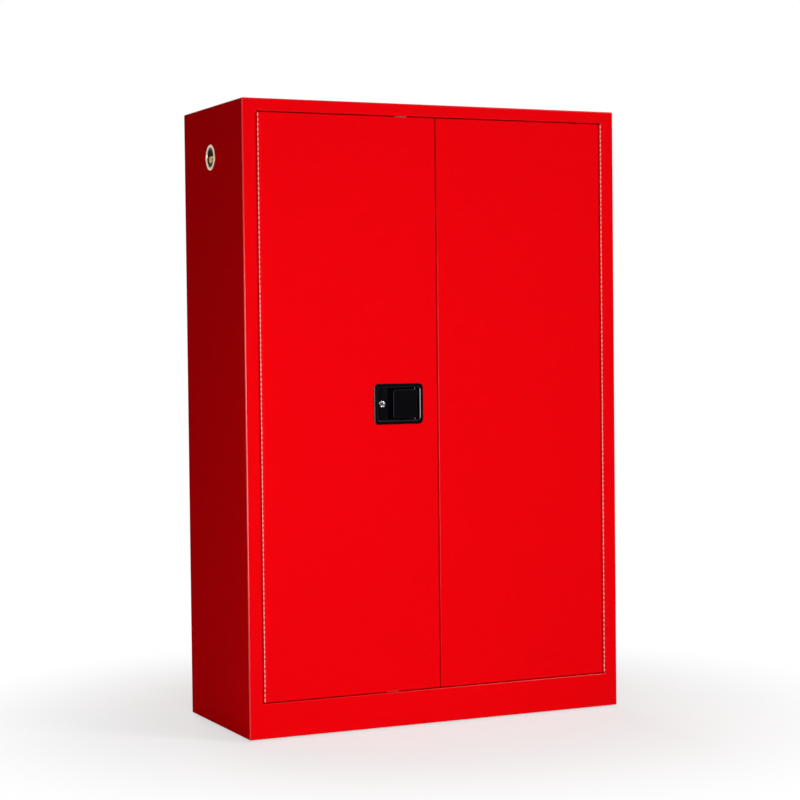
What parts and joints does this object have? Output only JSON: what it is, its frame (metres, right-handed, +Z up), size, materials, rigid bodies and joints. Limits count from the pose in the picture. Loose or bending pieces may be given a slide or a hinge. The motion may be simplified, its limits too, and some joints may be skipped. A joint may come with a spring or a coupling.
{
  "type": "explosion-proof cabinet",
  "caption": "Double-walled red steel safety cabinet: hinged double doors with a flush paddle latch, slotted rails, shelves, spill tray, bunged side vents and levelling feet.",
  "frame": {"origin": "centre of the body's footprint, on the floor", "axes": "+Z up, doors facing -Y, left door on -X"},
  "size_m": [1.1023, 0.456, 1.65],
  "materials": {
    "red_powder_coat": "satin powder coat",
    "black_plastic": "moulded, fine texture",
    "zinc_plate": "bright zinc plate",
    "galvanised": "galvanised",
    "chrome": "polished",
    "brass": "turned brass",
    "grey_seal": "matt heat-swelling strip",
    "spring_steel": "oiled wire"
  },
  "bodies": {
    "cabinet": {"outer_shell": "red_powder_coat", "back_panel": "red_powder_coat", "floor_panel": "red_powder_coat", "inner_liner": "red_powder_coat", "spill_tray": "red_powder_coat", "shelf_rail_left_front": "galvanised", "shelf_rail_left_rear": "galvanised", "shelf_rail_right_front": "galvanised", "shelf_rail_right_rear": "galvanised", "lower_shelf": "galvanised", "upper_shelf": "galvanised", "lower_hook_left_front": "zinc_plate", "lower_hook_left_rear": "zinc_plate", "lower_hook_right_front": "zinc_plate", "lower_hook_right_rear": "zinc_plate", "upper_hook_left_front": "zinc_plate", "upper_hook_left_rear": "zinc_plate", "upper_hook_right_front": "zinc_plate", "upper_hook_right_rear": "zinc_plate", "left_frame_leaf": "red_powder_coat", "right_frame_leaf": "red_powder_coat", "left_hinge_pin": "zinc_plate", "right_hinge_pin": "zinc_plate", "door_seal": "grey_seal", "upper_vent_collar": "brass", "upper_flame_screen": "brass", "lower_vent_collar": "brass", "lower_flame_screen": "brass", "head_strike": "zinc_plate", "sill_strike": "zinc_plate", "earth_stud": "brass"},
    "left_door": {"left_door_skin": "red_powder_coat", "left_door_pan": "red_powder_coat", "left_door_leaf": "red_powder_coat", "handle_housing": "black_plastic", "paddle_pin": "zinc_plate", "key_cylinder": "chrome", "lock_plate": "zinc_plate", "upper_rod_guide": "zinc_plate", "lower_rod_guide": "zinc_plate", "bolt_guide": "zinc_plate", "rod_spring": "spring_steel"},
    "right_door": {"right_door_skin": "red_powder_coat", "right_door_pan": "red_powder_coat", "right_door_leaf": "red_powder_coat", "centre_strike": "zinc_plate"},
    "paddle": {"paddle": "black_plastic"},
    "latch_rotor": {"latch_rotor": "zinc_plate"},
    "upper_rod": {"upper_rod": "zinc_plate"},
    "lower_rod": {"lower_rod": "zinc_plate"},
    "centre_bolt": {"centre_bolt": "zinc_plate"},
    "key_plug": {"key_plug": "chrome"},
    "upper_vent_bung": {"upper_vent_bung": "brass"},
    "lower_vent_bung": {"lower_vent_bung": "brass"},
    "foot_left_front": {"foot_left_front": "zinc_plate"},
    "foot_right_front": {"foot_right_front": "zinc_plate"},
    "foot_left_rear": {"foot_left_rear": "zinc_plate"},
    "foot_right_rear": {"foot_right_rear": "zinc_plate"}
  },
  "joints": [
    {"name": "left_door_hinge", "type": "hinge", "parent": "cabinet", "child": "left_door", "pos_m": [-0.5032, -0.2275, 0.857], "axis": [0, 0, -1], "range_deg": [0, 175]},
    {"name": "right_door_hinge", "type": "hinge", "parent": "cabinet", "child": "right_door", "pos_m": [0.5032, -0.2275, 0.857], "axis": [0, 0, 1], "range_deg": [0, 175]},
    {"name": "paddle_pull", "type": "hinge", "parent": "left_door", "child": "paddle", "pos_m": [-0.0655, -0.2195, 0.86], "axis": [0, 0, 1], "range_deg": [0, 30.1]},
    {"name": "rotor_turn", "type": "hinge", "parent": "left_door", "child": "latch_rotor", "pos_m": [-0.115, -0.1935, 0.86], "axis": [0, 1, 0], "range_deg": [0, 29.7]},
    {"name": "upper_rod_slide", "type": "slide", "parent": "left_door", "child": "upper_rod", "axis": [0, 0, -1], "range_m": [0, 0.00987], "stiffness_N_per_m": 1000, "springref_m": -0.006, "deforming": ["rod_spring"]},
    {"name": "lower_rod_slide", "type": "slide", "parent": "left_door", "child": "lower_rod", "axis": [0, 0, 1], "range_m": [0, 0.0099]},
    {"name": "centre_bolt_slide", "type": "slide", "parent": "left_door", "child": "centre_bolt", "axis": [-1, 0, 0], "range_m": [0, 0.0099]},
    {"name": "key_turn", "type": "hinge", "parent": "left_door", "child": "key_plug", "pos_m": [-0.162, -0.213, 0.86], "axis": [0, 1, 0], "range_deg": [0, 90]},
    {"name": "upper_vent_bung_turn", "type": "hinge", "parent": "cabinet", "child": "upper_vent_bung", "pos_m": [-0.545, 0.011, 1.516], "axis": [-1, 0, 0], "continuous": true},
    {"name": "lower_vent_bung_turn", "type": "hinge", "parent": "cabinet", "child": "lower_vent_bung", "pos_m": [0.545, 0.011, 0.17], "axis": [1, 0, 0], "continuous": true},
    {"name": "foot_left_front_turn", "type": "hinge", "parent": "cabinet", "child": "foot_left_front", "pos_m": [-0.493, -0.173, 0.03], "axis": [0, 0, 1], "continuous": true},
    {"name": "foot_right_front_turn", "type": "hinge", "parent": "cabinet", "child": "foot_right_front", "pos_m": [0.493, -0.173, 0.03], "axis": [0, 0, 1], "continuous": true},
    {"name": "foot_left_rear_turn", "type": "hinge", "parent": "cabinet", "child": "foot_left_rear", "pos_m": [-0.493, 0.173, 0.03], "axis": [0, 0, 1], "continuous": true},
    {"name": "foot_right_rear_turn", "type": "hinge", "parent": "cabinet", "child": "foot_right_rear", "pos_m": [0.493, 0.173, 0.03], "axis": [0, 0, 1], "continuous": true}
  ],
  "couplings": [
    {"joint": "paddle_pull", "follows": "upper_rod_slide", "rad_per_m": 53.033},
    {"joint": "rotor_turn", "follows": "upper_rod_slide", "rad_per_m": 52.29},
    {"joint": "lower_rod_slide", "follows": "upper_rod_slide", "ratio": 1},
    {"joint": "centre_bolt_slide", "follows": "upper_rod_slide", "ratio": 1}
  ]
}
